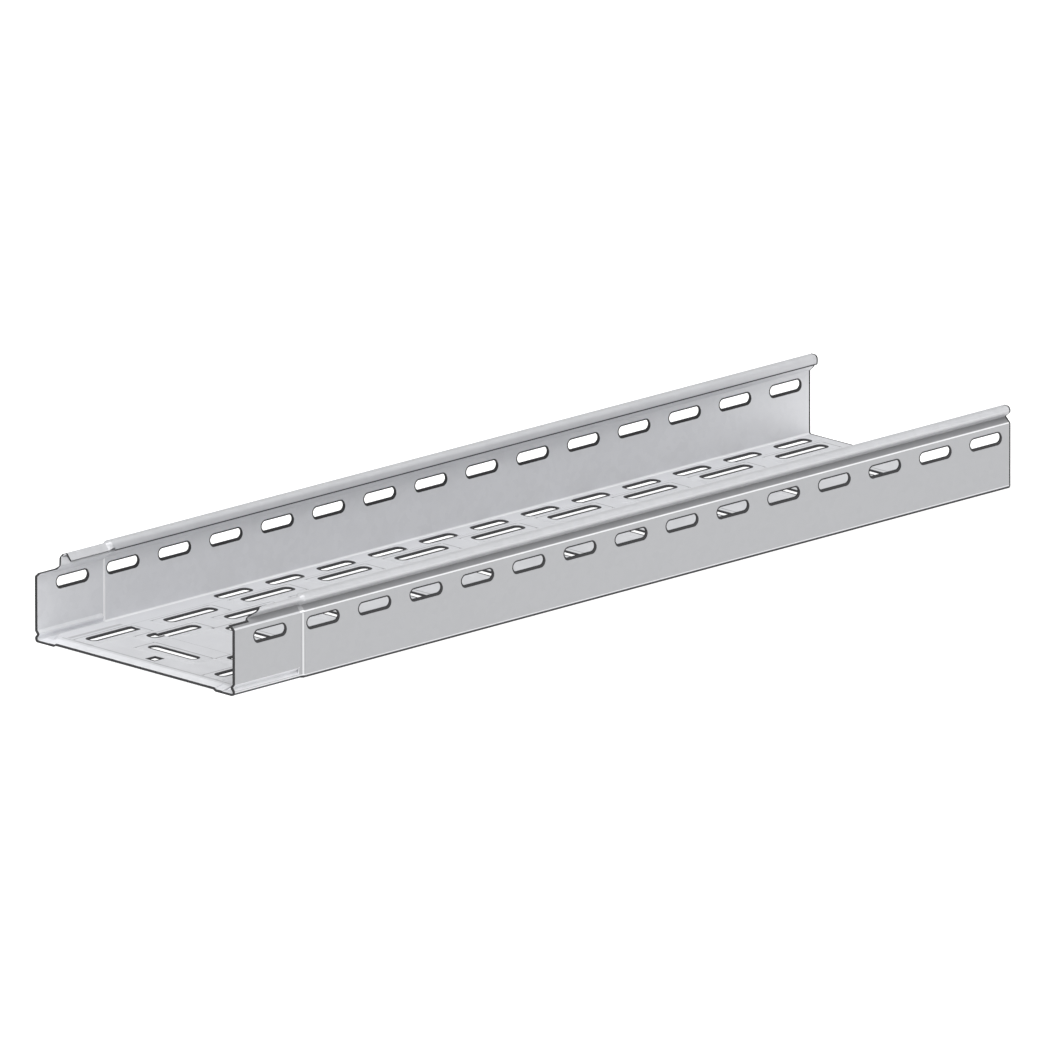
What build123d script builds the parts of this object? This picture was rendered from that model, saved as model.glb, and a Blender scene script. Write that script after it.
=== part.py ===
from build123d import *
from math import atan2, degrees
import os

# Cable tray: one length of perforated galvanised sheet, bent to a channel with rolled rims.
# X runs along the tray, with the push-in connector end at -X and the plain end at +X.
# The origin is at the middle of the underside, and the tray opens upwards.

# Overall sizes, in millimetres
tray_length = 760.0
tray_width = 200.0
side_height = 60.0
sheet = 1.2
foot_radius = 2.5

# Rolled rim of the side walls, measured down from the top and in from the outer face
rim_width = 8.8
rim_waist = 4.2
rim_radius = 3.0
rim_height = 8.0
neck_depth = 4.5
web_height = 4.0
lip_turn = 4.6
lip_drop = 7.0
lip_reach = 0.4

# Push-in connector end, with an open rail in place of the rolled rim
connector_length = 65.0
joggle_length = 3.0
slip = 0.1
roll_start = 3.0
web_drop = 0.6
neck_gain = 0.7
cap_inset = 0.4
cap_side = 2.6
cap_width = 2.9
cap_radius = 1.5
leg_run = 3.7
leg_drop = 4.3
trim_height = 2.9
rail_start = 16.5
rail_full = 26.5
rail_radius = 2.5
leg_start = 28.5
groove_height = 5.8
groove_width = 4.4
groove_depth = 2.0
groove_run_out = 1.5

# Pressed relief of the base, each slope given by its width on plan
crown_rise = 1.2
crown_width = 161.0
crown_slope = 2.0
plain_margin = 7.0
panel_front = 9.5
panel_margin = 2.5
panel_corner = 9.0
panel_slope = 3.0
pad_rise = 0.8
pad_slope = 2.0
pad_margin = 7.5
pad_side_margin = 7.2

# Slots in the walls
wall_slot_length = 30.0
wall_slot_width = 7.0
wall_slot_height = 39.5
wall_slot_pitch = 50.0
wall_slot_first = 35.0
wall_slot_end_margin = 10.0

# Slots in the base, each row placed by its distance from the connector's cut end
short_slot_length = 30.0
long_slot_length = 45.0
base_slot_width = 7.0
edge_row_offset = 88.0
edge_row_first = 182.0
edge_row_pitch = 50.0
outer_row_offset = 64.0
outer_row_first = 42.0
inner_row_offset = 40.0
inner_row_first = 77.5
cross_row_first = 38.5
long_row_pitch = 75.0
base_end_margin = 12.0
lock_hole = 7.0
lock_hole_place = 20.0

# Values worked out from the sizes above
half_width = tray_width / 2
cut_end = -tray_length / 2
plain_end = tray_length / 2
nest = sheet + slip
joggle_start = cut_end + connector_length
joggle_end = joggle_start + joggle_length
roll_place = joggle_end + roll_start
groove_end = joggle_start - groove_run_out
neck_level = side_height - rim_height
break_level = neck_level - web_height
conn_face = half_width - nest
conn_break = break_level - web_drop
conn_top = side_height - nest
cap_face = conn_face - cap_inset
leg_face = cap_face - cap_width - leg_run
lip_face = half_width - rim_width
trim_level = conn_break + trim_height
panel_rise = crown_rise + nest
panel_length = joggle_end - cut_end - panel_front
panel_width = 2 * (conn_face - sheet - panel_margin)
panel_flat = cut_end + panel_front + panel_slope
long_pad = long_slot_length + 2 * pad_margin
pad_width = base_slot_width + 2 * pad_side_margin


def places(first, pitch, length, end_margin):
    """X places of a row of slots that ends clear of the plain end."""
    room = tray_length - end_margin - length / 2 - first
    count = int(room // pitch) + 1
    return [cut_end + first + pitch * step for step in range(count)]


wall_places = places(wall_slot_first, wall_slot_pitch, wall_slot_length, wall_slot_end_margin)
edge_places = places(edge_row_first, edge_row_pitch, short_slot_length, base_end_margin)
outer_places = places(outer_row_first, long_row_pitch, long_slot_length, base_end_margin)
inner_places = places(inner_row_first, long_row_pitch, long_slot_length, base_end_margin)
cross_places = places(cross_row_first, long_row_pitch, base_slot_width, base_end_margin)
long_rows = ((outer_places, outer_row_offset), (inner_places, inner_row_offset))
long_slots = [(x, side * offset_y) for row, offset_y in long_rows for x in row for side in (-1, 1)]
cross_slots = [(x, 0) for x in cross_places]
edge_slots = [(x, side * edge_row_offset) for x in edge_places for side in (-1, 1)]
wall_slots = [(x, wall_slot_height) for x in wall_places]

# Outer line of the body's half section: base, foot, wall, web, neck and rim, with its lip rolled under
raised_line = [
    (0, 0),
    (half_width, 0),
    (half_width, break_level),
    (half_width - neck_depth, neck_level),
    (half_width, side_height - rim_waist),
    (half_width, side_height),
    (lip_face, side_height),
    (lip_face, side_height - lip_turn),
]
body_line = raised_line + [(lip_face + lip_reach, side_height - lip_drop)]
raised_radii = [foot_radius, 1.5, 0.4, 2.0, rim_radius, rim_radius]
body_radii = raised_radii + [1.5]

# The same line in the connector, set in by one sheet, with an open rail of two legs
conn_line = [
    (0, 0),
    (conn_face, 0),
    (conn_face, conn_break),
    (conn_face - neck_depth - neck_gain, neck_level),
    (cap_face, conn_top - cap_side),
    (cap_face, conn_top),
    (cap_face - cap_width, conn_top),
    (leg_face, conn_top - leg_drop),
]
conn_radii = [foot_radius, 1.5, 0.4, 1.5, cap_radius, cap_radius]

# The same line with the V groove that is pressed into the foot of the connector's wall
groove_line = [
    (conn_face, groove_height - groove_width / 2),
    (conn_face - groove_depth, groove_height),
    (conn_face, groove_height + groove_width / 2),
]
grooved_line = conn_line[:2] + groove_line + conn_line[2:]
grooved_radii = conn_radii[:1] + [1.5, 0.5, 1.5] + conn_radii[1:]


def half_section(x, points, radii):
    """Half section of the bent sheet at one place along the tray."""
    with BuildSketch(Plane.YZ.offset(x)) as section:
        with BuildLine():
            FilletPolyline(*points, radius=radii)
            offset(amount=sheet, side=Side.LEFT)
        make_face()
    return section.sketch


def draft(slope, rise):
    """Taper angle of a pressed edge that is slope wide on plan and rise high."""
    return degrees(atan2(slope, rise))


# The bent channel, as a right-hand half that is mirrored
with BuildPart() as channel:
    extrude(half_section(cut_end, grooved_line, grooved_radii), amount=groove_end - cut_end, dir=(1, 0, 0))
    extrude(half_section(groove_end, conn_line, conn_radii), amount=groove_run_out, dir=(1, 0, 0))
    with BuildSketch(Plane.YZ.offset(groove_end - sheet)):
        with BuildLine():
            Polyline(*groove_line, close=True)
        make_face()
        offset(amount=sheet / 2)
    extrude(amount=sheet)
    joggle_ends = [
        half_section(joggle_start, conn_line, conn_radii),
        half_section(joggle_end, raised_line, raised_radii),
    ]
    loft(joggle_ends, ruled=True)
    extrude(half_section(joggle_end, raised_line, raised_radii), amount=roll_start, dir=(1, 0, 0))
    extrude(half_section(roll_place, body_line, body_radii), amount=plain_end - roll_place, dir=(1, 0, 0))
    mirror(about=Plane.XZ)

# Raised middle of the base and the pads round its slots, drawn from the floor's upper face
with BuildPart() as relief:
    with BuildSketch(Plane.XY.offset(sheet)) as crown_plan:
        with Locations((-plain_margin, 0)):
            Rectangle(tray_length, crown_width)
    extrude(amount=crown_rise, taper=draft(crown_slope, crown_rise))
    extrude(crown_plan.sketch, amount=-sheet / 2)
    with BuildSketch(Plane.XY.offset(sheet + crown_rise)) as pad_plan:
        with Locations(*long_slots):
            Rectangle(long_pad, pad_width)
        with Locations(*cross_slots):
            Rectangle(pad_width, long_pad)
    extrude(amount=pad_rise, taper=draft(pad_slope, pad_rise))
    extrude(pad_plan.sketch, amount=-sheet / 2)

# Panel of the connector's base, lifted by one sheet so that it lies over the next tray
with BuildPart() as panel:
    with BuildSketch(Plane.XY.offset(sheet)) as panel_plan:
        with Locations((cut_end + panel_front + panel_length / 2, 0)):
            RectangleRounded(panel_length, panel_width, panel_corner)
    extrude(amount=panel_rise, taper=draft(panel_slope, panel_rise))
    extrude(panel_plan.sketch, amount=-sheet / 2)

# Pads that stand on the panel
with BuildPart() as panel_pads:
    add(relief.part.moved(Location((0, 0, nest))))
    with BuildSketch(Plane.XY.offset(sheet)):
        with Locations((cut_end + panel_front + panel_length / 2, 0)):
            Rectangle(panel_length, crown_width)
    pads_top = panel_rise + pad_rise
    extrude(amount=pads_top, taper=draft(panel_slope, panel_rise), mode=Mode.INTERSECT)

# Whole relief, with the ramp that leads up to the panel from the cut end
with BuildPart() as raised:
    add(panel.part)
    add(panel_pads.part)
    add(relief.part)
    for start, reach in ((0, panel_width / 2 - panel_corner), (crown_rise, crown_width / 2 - crown_slope)):
        with BuildSketch(Plane.XZ):
            with BuildLine():
                Polyline(
                    (cut_end, sheet / 2),
                    (cut_end, sheet + start),
                    (panel_flat, sheet + panel_rise),
                    (panel_flat + panel_corner, sheet + panel_rise),
                    (panel_flat + panel_corner, sheet / 2),
                    close=True,
                )
            make_face()
        extrude(amount=reach, both=True)
    with BuildSketch(Plane.XY.offset(-sheet)):
        Rectangle(tray_length, tray_width)
    extrude(amount=side_height, mode=Mode.INTERSECT)

# The tray: channel with its relief pressed up, trimmed rails and every slot
with BuildPart() as tray:
    add(channel.part)
    add(raised.part)
    add(raised.part.moved(Location((0, 0, -sheet))), mode=Mode.SUBTRACT)

    with BuildSketch(Plane.XZ):
        with BuildLine():
            trim = FilletPolyline(
                (cut_end - sheet, trim_level),
                (cut_end + rail_start, trim_level),
                (cut_end + rail_full, conn_top),
                (cut_end + leg_start, conn_top + slip),
                radius=rail_radius,
            )
            clear = 2 * side_height
            Polyline(trim @ 1, (cut_end + leg_start, clear), (cut_end - sheet, clear), trim @ 0)
        make_face()
    extrude(amount=half_width, both=True, mode=Mode.SUBTRACT)

    crown_line = cap_face - cap_radius
    leg_side = leg_face + sheet
    leg_level = conn_top - leg_drop - sheet + slip
    with BuildSketch(Plane.YZ.offset(cut_end)):
        with BuildLine():
            Polyline(
                (-crown_line, clear),
                (-crown_line, conn_top - sheet / 2),
                (-leg_side, leg_level),
                (leg_side, leg_level),
                (crown_line, conn_top - sheet / 2),
                (crown_line, clear),
                close=True,
            )
        make_face()
    extrude(amount=leg_start, mode=Mode.SUBTRACT)

    with BuildSketch(Plane.XZ):
        with Locations(*wall_slots):
            SlotOverall(wall_slot_length, wall_slot_width)
    extrude(amount=half_width, both=True, mode=Mode.SUBTRACT)

    with BuildSketch():
        with Locations(*edge_slots):
            SlotOverall(short_slot_length, base_slot_width)
        with Locations(*long_slots):
            SlotOverall(long_slot_length, base_slot_width)
        with Locations(*cross_slots):
            SlotOverall(long_slot_length, base_slot_width, rotation=90)
        with Locations((cut_end + lock_hole_place, 0)):
            Rectangle(lock_hole, lock_hole)
    extrude(amount=side_height / 4, mode=Mode.SUBTRACT)

tray.part.label = "tray"

os.makedirs("parts", exist_ok=True)
export_step(tray.part, "parts/tray.step")
print("solids", len(tray.part.solids()), "volume", round(tray.part.volume, 1))
print("box", tray.part.bounding_box())
print("slots: long", len(long_slots), "cross", len(cross_slots), "edge", len(edge_slots))
print("slots in each wall", len(wall_slots))
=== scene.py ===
import math

import bpy
from mathutils import Matrix, Vector

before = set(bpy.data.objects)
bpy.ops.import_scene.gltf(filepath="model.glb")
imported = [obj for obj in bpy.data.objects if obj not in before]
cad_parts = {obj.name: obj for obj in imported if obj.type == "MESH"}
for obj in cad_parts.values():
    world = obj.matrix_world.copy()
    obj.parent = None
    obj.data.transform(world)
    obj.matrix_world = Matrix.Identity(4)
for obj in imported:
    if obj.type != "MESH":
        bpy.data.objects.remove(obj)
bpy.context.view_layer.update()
print("frame loaded:", sorted(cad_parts))

millimetre = 0.001


class Wire:
    # an output socket in a material; arithmetic on it adds Math nodes

    def __init__(self, graph, socket):
        self.graph = graph
        self.socket = socket

    def __add__(self, other):
        return self.graph.maths("ADD", self, other)

    def __sub__(self, other):
        return self.graph.maths("SUBTRACT", self, other)

    def __rsub__(self, other):
        return self.graph.maths("SUBTRACT", other, self)

    def __mul__(self, other):
        return self.graph.maths("MULTIPLY", self, other)

    def __gt__(self, other):
        return self.graph.maths("GREATER_THAN", self, other)

    def __lt__(self, other):
        return self.graph.maths("LESS_THAN", self, other)

    def __abs__(self):
        return self.graph.maths("ABSOLUTE", self)

    __radd__ = __add__
    __rmul__ = __mul__


class Graph:
    # the node tree of one material

    def __init__(self, name):
        self.material = bpy.data.materials.new(name)
        self.material.use_nodes = True
        self.tree = self.material.node_tree
        self.tree.nodes.clear()

    def node(self, kind, settings=None, sockets=None, output=0):
        made = self.tree.nodes.new(kind)
        for name, value in (settings or {}).items():
            setattr(made, name, value)
        for name, value in (sockets or {}).items():
            if isinstance(value, Wire):
                self.tree.links.new(value.socket, made.inputs[name])
            else:
                made.inputs[name].default_value = value
        return Wire(self, made.outputs[output]) if made.outputs else made

    def maths(self, operation, *values):
        return self.node("ShaderNodeMath", {"operation": operation}, dict(enumerate(values)))

    def largest(self, first, *others):
        for other in others:
            first = self.maths("MAXIMUM", first, other)
        return first

    def smallest(self, first, *others):
        for other in others:
            first = self.maths("MINIMUM", first, other)
        return first

    def mixColours(self, factor, low, high):
        settings = {"data_type": "RGBA", "blend_type": "MIX"}
        return self.node("ShaderNodeMix", settings, {0: factor, 6: low, 7: high}, 2)

    def mixNumbers(self, factor, low, high):
        return self.node("ShaderNodeMix", {"data_type": "FLOAT"}, {0: factor, 2: low, 3: high}, 0)

    def scale(self, vector, factor):
        return self.node("ShaderNodeVectorMath", {"operation": "SCALE"}, {0: vector, "Scale": factor})

    def noise(self, place, scale, detail, output=0):
        sockets = {"Vector": place, "Scale": scale, "Detail": detail}
        return self.node("ShaderNodeTexNoise", {}, sockets, output)

    # 1 up to near, falling softly to 0 at far
    def fade(self, value, near, far):
        settings = {"interpolation_type": "SMOOTHSTEP", "clamp": True}
        return self.node("ShaderNodeMapRange", settings, {"Value": value, 1: far, 2: near, 3: 0.0, 4: 1.0})

    # 1 inside a band of half-width reach round the middle, falling softly to 0
    def band(self, value, middle, reach, softness):
        return self.fade(abs(value - middle), reach, reach + softness)

    def between(self, value, low, high):
        return (value > low) * (value < high)

    def split(self, vector):
        parts = self.node("ShaderNodeSeparateXYZ", sockets={0: vector}).socket.node
        return [Wire(self, socket) for socket in parts.outputs]


galvanisedSheet = {
    "colour": (0.635, 0.64, 0.66),      # fresh zinc, a little blue
    "darkFlake": (0.585, 0.59, 0.61),
    "cutSteelAndShade": (0.03, 0.03, 0.032),    # sheared edges have no zinc; also painted shade and a painted contact shadow beside them
    "paintedBendHighlight": (0.93, 0.93, 0.94),     # painted highlight along a bend
    "flakeSize": 5 * millimetre,
    "raggedScale": 420.0,               # noise that makes the flakes' borders wander
    "raggedReach": 2.2 * millimetre,
    "rollLineSize": 1.2 * millimetre,
    "rollStretch": 0.03,                # small, so the mill's lines are drawn out along the tray
    "cloudScale": 9.0,
    "toneShares": (0.55, 0.2, 0.5),     # of flakes, roll lines and clouds
    "toneShift": -0.15,
    "cutRim": 1.15 * millimetre,        # darkened sheet beside a sheared edge
    "floorRim": 1.6 * millimetre,
    "rimSolid": 0.75,                   # share of that rim that is fully dark
    "gritScale": 900.0,
    "fray": 0.3 * millimetre,           # by which the rim is uneven
    "metallic": 0.2,
    "cutMetallic": 0.05,
    "roughness": 0.42,
    "cutRoughness": 0.9,
    "flakeSwing": 0.14,                 # by how much flakes and clouds change the roughness
    "cloudSwing": 0.1,
    "bumpStrength": 0.25,
    "bumpHeight": 0.04 * millimetre,
    "flakeHeight": 0.5,                 # of the flakes beside the roll lines
    # painted light and shade: brightness of each region beside the floor's
    "outerWall": 0.59,
    "innerWall": 1.02,
    "groove": 0.42,                     # painted shade in the groove under the rim
    "rim": 0.84,
    "flank": 0.86,                      # the rim's underside, down to the neck; painted shade
    "relief": 0.93,                     # painted shade on the slopes of the pressed pads and panel
    "crease": 0.5,                      # painted shade line where a pad or the panel meets the floor
    "joggle": 0.86,
    # painted light inside the connector's foot
    "connectorFoot": 1.18,
    "frontStrip": 1.2,                  # painted light on the floor between the cut end and the panel
    # strength of the painted shade at single creases and of the painted highlights along bends
    "crownCrease": 0.6,
    "panelFrontCrease": 0.6,
    "panelRearCrease": 0.9,
    "footBend": 0.5,
    "neckBend": 0.6,
    "outerStepBend": 0.4,
}

# where the slots are in the sheet, in millimetres: middle of the first, pitch, length, place
# across (height in the walls) and the stretch of the tray that holds the row
slotRows = {
    "wall": {"first": -345, "pitch": 50, "length": 30, "across": 39.5, "span": (-375, 380)},
    "edge": {"first": -198, "pitch": 50, "length": 30, "across": 88, "span": (-223, 377)},
    "outer": {"first": -338, "pitch": 75, "length": 45, "across": 64, "span": (-375, 370)},
    "inner": {"first": -302.5, "pitch": 75, "length": 45, "across": 40, "span": (-340, 335)},
    "cross": {"first": -341.5, "pitch": 75, "length": 45, "across": 0, "span": (-375, 370)},
}
halfSlot = 3.5
farAway = 100                           # a distance that no darkened rim reaches

# the sheet's other forms, in millimetres from the middle of its underside
sheetForm = {
    "halfLength": 380,
    "halfWidth": 100,
    "wallDepth": 3,                     # of the layer that holds both faces of a wall
    "slotDepth": 3.5,                   # the same where the connector's wall steps in
    "slotHeights": (33, 46),
    "lockHole": -360,
    "endTrim": 0.3,
    "ends": 350,                        # the cut ends lie past this
    "floorTop": 8,                      # nothing of the pressed floor is higher
    "footTop": 3,                       # the foot's bend ends here
    "neckFoot": 48.6,                   # top of the flat wall
    "rimFoot": 52,
    "lipInset": 7.5,
    "trimEnd": -351,                    # the trimmed rail's sloped start lies before this
    "trimTip": -362.5,
    "trimHeights": (49, 49.6),
    "footShadowDepth": 2,
    "stepHeights": (2.5, 47),
    "joggle": (-315, -312),
    "crownSpan": (-366, 373),
    "panelFrontHalf": 84,
    "panelRearHalf": 29,
    "wallSide": 90,                     # walls and rims lie outside this
    "footSide": 92,
    "reliefSide": 94,
    "footHeight": 6,
    "frontEnd": -370.8,
    "frontTop": 4,
    "padPast": (7.5, 7.2),              # of a pad past its slot, at the ends and at the sides
    "creaseInset": 0.9,
    "creaseEnd": 1,                     # a crease stops this short of the pad's corner
    "wallSlotShade": (0.5, -1.0),            # shift of the painted shade that widens a wall slot's dark rim downwards and to the right
    # shifts across the row of the floor slots' dark rim: 0 keeps the cut edge, the others widen it as
    # painted shade
    "floorRimAndShadeShifts": (-0.8, 0.0, 1.1),
}

# soft borders in millimetres: full up to the first, gone at the second
softBorder = {
    "footShadow": (1.9, 2.5),
    "grooveTop": (51.7, 52.4),
    "grooveFoot": (0.0, 0.4),
    "rim": (0.0, 0.6),
    "lip": (53.6, 54.2),
}

# soft lines in millimetres: middle, half-width and softness
softLine = {
    "crownCrease": (79.6, 1.4, 0.5),
    "panelFrontCrease": (-367.8, 0.5, 0.4),
    "panelRearCrease": (-314.2, 0.9, 0.5),
    "footBend": (98.2, 0.4, 0.5),
    "footBendHeight": (1.7, 0.5, 0.5),
    "neckBend": (99.3, 0.9, 0.4),
    "neckBendHeight": (48.2, 0.25, 0.35),
    "outerStep": (-313.4, 0.45, 0.4),
    "innerStep": (-313.6, 1.4, 0.4),
}
padLine = (1.2, 0.5)                    # half-width and softness of a pad's crease

# how far the sheet's face turns towards one axis, from 0 to 1
facing = {
    "cutEnd": 0.9,
    "trimEdge": 0.12,
    "upright": 0.3,
    "slope": (0.4, 0.975),
    "upward": 0.4,
    "level": 0.9,
    "underside": -0.1,
}


class Spot:
    # the point being shaded, in millimetres, and the way that the sheet faces there

    def __init__(self, graph):
        self.place = graph.node("ShaderNodeTexCoord", output="Object")
        normal = graph.node("ShaderNodeNewGeometry", output="Normal")
        self.x, self.y, self.z = graph.split(graph.scale(self.place, 1 / millimetre))
        self.nx, self.ny, self.nz = graph.split(normal)
        self.side = abs(self.y)
        self.outward = (self.ny * self.y) > 0


def alongRow(graph, along, row):
    # signed distance along a row from the middle of its nearest slot
    first, pitch = row["first"], row["pitch"]
    return graph.maths("WRAP", along, first + pitch / 2, first - pitch / 2) - first


def slotDistance(graph, along, across, name):
    # distance in millimetres from the edge of the nearest slot of a row
    row = slotRows[name]
    local = alongRow(graph, along, row)
    off = across - row["across"]
    lengthwise, sideways = (off, local) if name == "cross" else (local, off)
    over = graph.largest(abs(lengthwise) - (row["length"] / 2 - halfSlot), 0.0)
    reach = graph.maths("SQRT", over * over + sideways * sideways) - halfSlot
    return reach + (1 - graph.between(along, *row["span"])) * farAway


def padCreaseShade(graph, spot, name):
    # painted shade along the far long side and the far end of each raised pad, at its foot
    row = slotRows[name]
    turned = name == "cross"
    local = alongRow(graph, spot.x, row)
    off = spot.y if turned else (spot.side - row["across"]) * graph.maths("SIGN", spot.y)
    pastEnd, pastSide = sheetForm["padPast"]
    halves = (row["length"] / 2 + pastEnd, halfSlot + pastSide)
    halfX, halfY = reversed(halves) if turned else halves
    inset, short = sheetForm["creaseInset"], sheetForm["creaseEnd"]
    farSide = graph.band(off, halfY - inset, *padLine) * (abs(local) < halfX - short)
    farEnd = graph.band(local, halfX - inset, *padLine) * (abs(off) < halfY - short)
    return graph.largest(farSide, farEnd) * graph.between(spot.x, *row["span"])


def zincPattern(graph, spot, recipe):
    # crystal flakes of the zinc, faint lines from the rolling mill and soft clouds
    ragged = graph.noise(spot.place, recipe["raggedScale"], 2.0, "Color")
    pushed = graph.scale(ragged, recipe["raggedReach"])
    shifted = graph.node("ShaderNodeVectorMath", {"operation": "ADD"}, {0: spot.place, 1: pushed})
    flakeScale = 1 / recipe["flakeSize"]
    flakes = graph.node("ShaderNodeTexVoronoi", {}, {"Vector": shifted, "Scale": flakeScale}, "Color")
    stretch = (recipe["rollStretch"], 1.0, 1.0)
    stretched = graph.node("ShaderNodeMapping", {}, {"Vector": spot.place, "Scale": stretch})
    lines = graph.noise(stretched, 1 / recipe["rollLineSize"], 3.0)
    clouds = graph.noise(spot.place, recipe["cloudScale"], 4.0)
    return graph.split(flakes)[0], lines, clouds


def cutEdgesAndPaintedShade(graph, spot, recipe):
    # sheared edges without zinc: the slots, the lock hole, both ends, the trimmed rail and the rim's lip,
    # widened by painted shade on the slots' lower and far sides and under the rim; and a painted contact
    # shadow along the outer foot
    x, y, z, side = spot.x, spot.y, spot.z, spot.side
    halfWidth = sheetForm["halfWidth"]

    inWall = (side > halfWidth - sheetForm["slotDepth"]) * graph.between(z, *sheetForm["slotHeights"])
    # painted shade: the slot's dark rim widened towards its lower side and right end
    aside, lower = sheetForm["wallSlotShade"]
    wallEdge = slotDistance(graph, x, z, "wall")
    wallSlotShade = slotDistance(graph, x - aside, z - lower, "wall")
    wallEdge = graph.smallest(wallEdge, wallSlotShade) + (1 - inWall) * farAway
    fromEnd = sheetForm["halfLength"] - abs(x) - sheetForm["endTrim"]

    floorEdge = graph.largest(abs(x - sheetForm["lockHole"]), side) - halfSlot
    # painted shade: the floor slots' dark rims widened across the row by the shifts
    for name in ("edge", "outer", "inner"):
        for shift in sheetForm["floorRimAndShadeShifts"]:
            floorEdge = graph.smallest(floorEdge, slotDistance(graph, x, abs(y - shift), name))
    floorEdge = graph.smallest(floorEdge, slotDistance(graph, x, y, "cross"))
    floorEdge = floorEdge + (z > sheetForm["floorTop"]) * farAway

    grit = graph.noise(spot.place, recipe["gritScale"], 2.0)
    fray = (grit - 0.5) * (recipe["fray"] / millimetre)
    rims = []
    for distance, name in ((graph.smallest(wallEdge, fromEnd), "cutRim"), (floorEdge, "floorRim")):
        rim = recipe[name] / millimetre
        rims.append(graph.fade(distance + fray, rim * recipe["rimSolid"], rim))

    slopeFoot, tipFoot = sheetForm["trimHeights"]
    slope = (x < sheetForm["trimEnd"]) * (z > slopeFoot) * (abs(spot.ny) < facing["trimEdge"])
    tip = (x < sheetForm["trimTip"]) * (z > tipFoot)
    # the rim's cut edge, widened upwards as a painted shadow line under the rim
    inRim = (side < halfWidth - sheetForm["lipInset"]) * (z > sheetForm["rimFoot"])
    lip = inRim * graph.fade(z, *softBorder["lip"])
    ends = (abs(spot.nx) > facing["cutEnd"]) * (abs(x) > sheetForm["ends"])
    # painted contact shadow along the outside of the foot
    footShadow = graph.fade(z, *softBorder["footShadow"]) * (side > halfWidth - sheetForm["footShadowDepth"])
    return graph.largest(*rims, slope, tip, lip, ends, footShadow * spot.outward)


def paintedRegionShade(graph, spot, recipe):
    # painted light and shade: brightness of the walls, groove, rim, slopes and creases beside the floor's
    x, y, z, side = spot.x, spot.y, spot.z, spot.side
    neckFoot = sheetForm["neckFoot"]
    onFloor = z < sheetForm["floorTop"]

    upright = (abs(spot.nz) < facing["upright"]) * (side > sheetForm["halfWidth"] - sheetForm["wallDepth"])
    upright = upright * graph.between(z, sheetForm["footTop"], neckFoot)
    outerWall = spot.outward * upright
    groove = graph.fade(z, *softBorder["grooveTop"]) * graph.fade(neckFoot - z, *softBorder["grooveFoot"])
    rim = graph.fade(sheetForm["rimFoot"] - z, *softBorder["rim"])
    relief = onFloor * (side < sheetForm["reliefSide"]) * graph.between(spot.nz, *facing["slope"])

    crown = graph.band(y, *softLine["crownCrease"]) * graph.between(x, *sheetForm["crownSpan"])
    panelFront = graph.band(x, *softLine["panelFrontCrease"]) * (side < sheetForm["panelFrontHalf"])
    panelRear = graph.band(x, *softLine["panelRearCrease"]) * (side < sheetForm["panelRearHalf"])
    creases = graph.largest(
        *[padCreaseShade(graph, spot, name) for name in ("outer", "inner", "cross")],
        crown * recipe["crownCrease"],
        panelFront * recipe["panelFrontCrease"],
        panelRear * recipe["panelRearCrease"],
    )

    front = (x < sheetForm["frontEnd"]) * (z < sheetForm["frontTop"]) * (spot.nz > facing["level"])
    connectorFoot = (x < sheetForm["joggle"][0]) * (side > sheetForm["footSide"])
    connectorFoot = connectorFoot * (z < sheetForm["footHeight"]) * (1 - spot.outward) * (1 - front)

    masks = {
        "outerWall": outerWall,
        "innerWall": upright - outerWall,
        "groove": groove * spot.outward * (side > sheetForm["wallSide"]),
        "rim": rim,
        "flank": rim * spot.outward * (spot.nz < facing["underside"]),
        "relief": relief,
        "crease": creases * onFloor * (spot.nz > facing["upward"]),
        "joggle": outerWall * graph.between(x, *sheetForm["joggle"]),
        "frontStrip": front,
        "connectorFoot": connectorFoot,
    }
    shade = 1.0
    for name, mask in masks.items():
        shade = shade * (1 + mask * (recipe[name] - 1))
    return shade


def paintedBendHighlights(graph, spot, recipe):
    # painted highlights along the bends: inner foot of the wall, under the rim, and the connector's step
    x, z, side = spot.x, spot.z, spot.side
    foot = graph.band(side, *softLine["footBend"]) * graph.band(z, *softLine["footBendHeight"])
    neck = graph.band(side, *softLine["neckBend"]) * graph.band(z, *softLine["neckBendHeight"])
    outerStep = graph.band(x, *softLine["outerStep"]) * spot.outward * recipe["outerStepBend"]
    innerStep = graph.band(x, *softLine["innerStep"]) * (1 - spot.outward)
    onWall = graph.between(z, *sheetForm["stepHeights"]) * (side > sheetForm["wallSide"])
    return graph.largest(
        foot * recipe["footBend"],
        neck * spot.outward * recipe["neckBend"],
        graph.largest(outerStep, innerStep) * onWall,
    )


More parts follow.
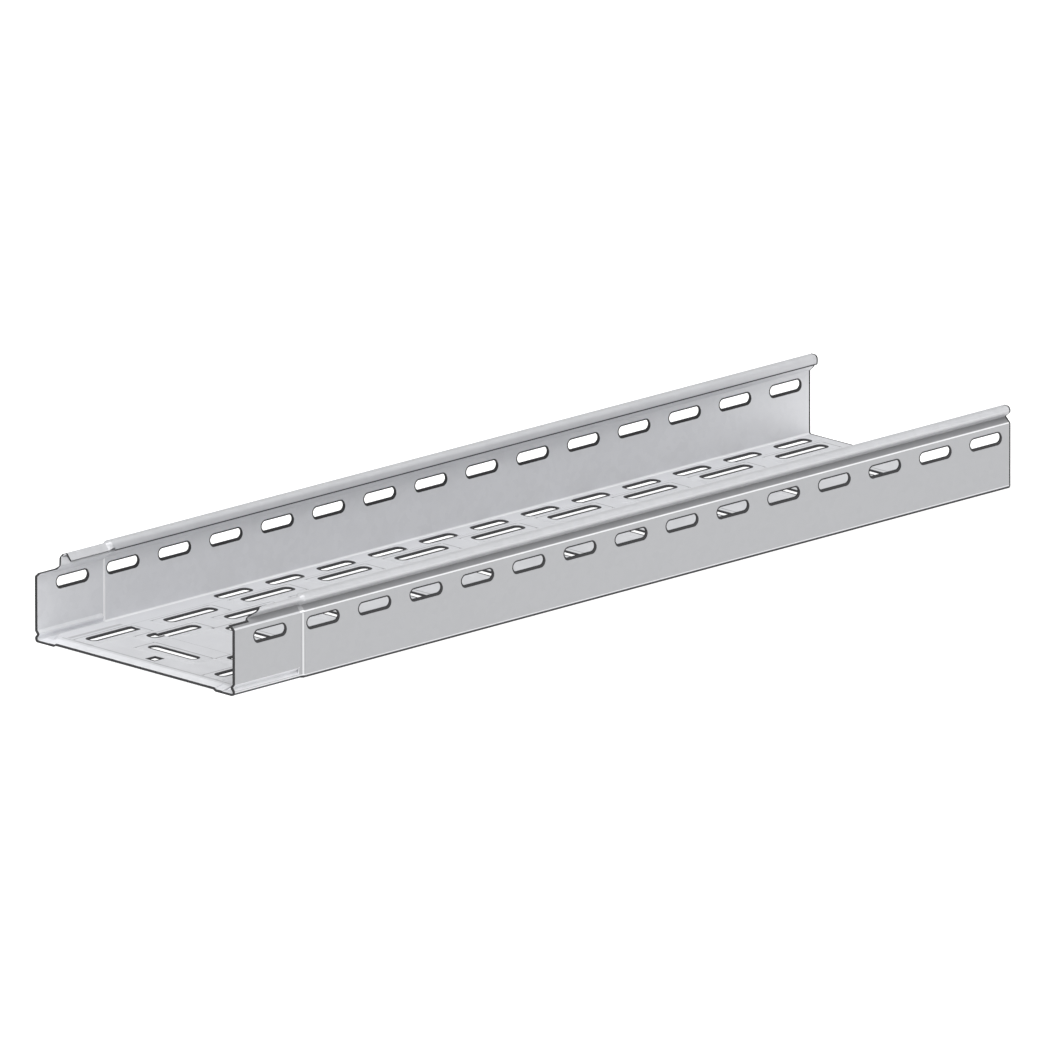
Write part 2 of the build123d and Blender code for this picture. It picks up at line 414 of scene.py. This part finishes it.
def makeGalvanised(recipe):
    graph = Graph("galvanisedSheet")
    spot = Spot(graph)
    flake, lines, clouds = zincPattern(graph, spot, recipe)
    # cut steel, with painted shade beside the slots and under the rim and a painted contact shadow at the
    # foot
    dark = cutEdgesAndPaintedShade(graph, spot, recipe)

    flakeShare, lineShare, cloudShare = recipe["toneShares"]
    tone = flake * flakeShare + lines * lineShare + clouds * cloudShare + recipe["toneShift"]
    coat = graph.mixColours(tone, (*recipe["darkFlake"], 1), (*recipe["colour"], 1))
    # painted light and shade by region
    coat = graph.scale(coat, paintedRegionShade(graph, spot, recipe))
    # painted highlights along the bends
    coat = graph.mixColours(paintedBendHighlights(graph, spot, recipe), coat, (*recipe["paintedBendHighlight"], 1))
    # cut steel and painted shade
    coat = graph.mixColours(dark, coat, (*recipe["cutSteelAndShade"], 1))

    shine = recipe["roughness"] + (flake - 0.5) * recipe["flakeSwing"]
    shine = shine + (clouds - 0.5) * recipe["cloudSwing"]
    bump = graph.node("ShaderNodeBump", {}, {
        "Height": flake * recipe["flakeHeight"] + lines,
        "Strength": recipe["bumpStrength"],
        "Distance": recipe["bumpHeight"],
    })
    surface = graph.node("ShaderNodeBsdfPrincipled", {}, {
        "Base Color": coat,
        "Metallic": graph.mixNumbers(dark, recipe["metallic"], recipe["cutMetallic"]),
        "Roughness": graph.mixNumbers(dark, shine, recipe["cutRoughness"]),
        "Normal": bump,
    })
    graph.node("ShaderNodeOutputMaterial", {}, {"Surface": surface})
    return graph.material


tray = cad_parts["tray"]
tray.data.materials.clear()
tray.data.materials.append(makeGalvanised(galvanisedSheet))
print("sheet finished")

studio = {
    "floorReach": 12.0,
    "floorColour": (0.42, 0.42, 0.42),
    "floorDim": 0.99,                   # darkest tone of the floor's faint mottle
    "mottleScale": 6.0,
    "floorRoughness": 0.9,
    "floorGlow": 0.85,                  # a light table, so the tray throws no shadow
    "worldColour": (1.0, 1.0, 1.0),
    "worldStrength": 0.45,
    "lights": (
        # name, strength, degrees of sky that it fills, and where it stands
        ("key", 2.7, 45.0, (-0.38, -0.25, 0.9)),
        ("fill", 0.7, 60.0, (-0.15, -0.9, 0.42)),
    ),
}


def makeFloor(recipe):
    reach = recipe["floorReach"]
    corners = [(-reach, -reach, 0), (reach, -reach, 0), (reach, reach, 0), (-reach, reach, 0)]
    mesh = bpy.data.meshes.new("floor")
    mesh.from_pydata(corners, [], [(0, 1, 2, 3)])
    floor = bpy.data.objects.new("floor", mesh)
    bpy.context.scene.collection.objects.link(floor)
    graph = Graph("paleFloor")
    mottle = graph.node("ShaderNodeTexNoise", {}, {"Scale": recipe["mottleScale"], "Detail": 3.0})
    bright = (*recipe["floorColour"], 1)
    dim = (*[channel * recipe["floorDim"] for channel in recipe["floorColour"]], 1)
    surface = graph.node("ShaderNodeBsdfPrincipled", {}, {
        "Base Color": graph.mixColours(mottle, dim, bright),
        "Roughness": recipe["floorRoughness"],
        "Emission Color": (1, 1, 1, 1),
        "Emission Strength": recipe["floorGlow"],
    })
    graph.node("ShaderNodeOutputMaterial", {}, {"Surface": surface})
    mesh.materials.append(graph.material)


def makeLight(recipe):
    world = bpy.data.worlds.new("studio")
    bpy.context.scene.world = world
    world.use_nodes = True
    background = world.node_tree.nodes["Background"]
    background.inputs["Color"].default_value = (*recipe["worldColour"], 1)
    background.inputs["Strength"].default_value = recipe["worldStrength"]
    for name, strength, width, place in recipe["lights"]:
        light = bpy.data.lights.new(name, "SUN")
        light.energy = strength
        light.angle = math.radians(width)
        lamp = bpy.data.objects.new(name, light)
        lamp.location = place
        lamp.rotation_euler = (-Vector(place)).to_track_quat("-Z", "Y").to_euler()
        bpy.context.scene.collection.objects.link(lamp)
    bpy.context.scene.view_settings.view_transform = "Standard"


view = {
    "azimuth": 44.596,                  # degrees, from +Y towards +X
    "elevation": 15.607,
    "roll": -0.095,
    "distance": 32.527,                 # far off, as the photograph has almost no perspective
    "asideShift": -0.0003,
    "upShift": 0.028,
    "lens": 1600.0,
    "sensor": 36.0,
    "farthest": 60.0,
}


def makeCamera(recipe):
    azimuth = math.radians(recipe["azimuth"])
    elevation = math.radians(recipe["elevation"])
    roll = math.radians(recipe["roll"])
    levelRight = Vector((math.cos(azimuth), -math.sin(azimuth), 0))
    level = math.cos(elevation)
    ahead = Vector((math.sin(azimuth) * level, math.cos(azimuth) * level, -math.sin(elevation)))
    levelUp = levelRight.cross(ahead)
    right = levelRight * math.cos(roll) + levelUp * math.sin(roll)
    up = levelUp * math.cos(roll) - levelRight * math.sin(roll)
    data = bpy.data.cameras.new("camera")
    data.sensor_width = recipe["sensor"]
    data.lens = recipe["lens"]
    data.clip_end = recipe["farthest"]
    camera = bpy.data.objects.new("camera", data)
    spot = right * recipe["asideShift"] + up * recipe["upShift"] - ahead * recipe["distance"]
    turn = Matrix((right, up, -ahead)).transposed().to_4x4()
    camera.matrix_world = Matrix.Translation(spot) @ turn
    bpy.context.scene.collection.objects.link(camera)
    bpy.context.scene.camera = camera


makeFloor(studio)
makeLight(studio)
makeCamera(view)
print("studio ready")
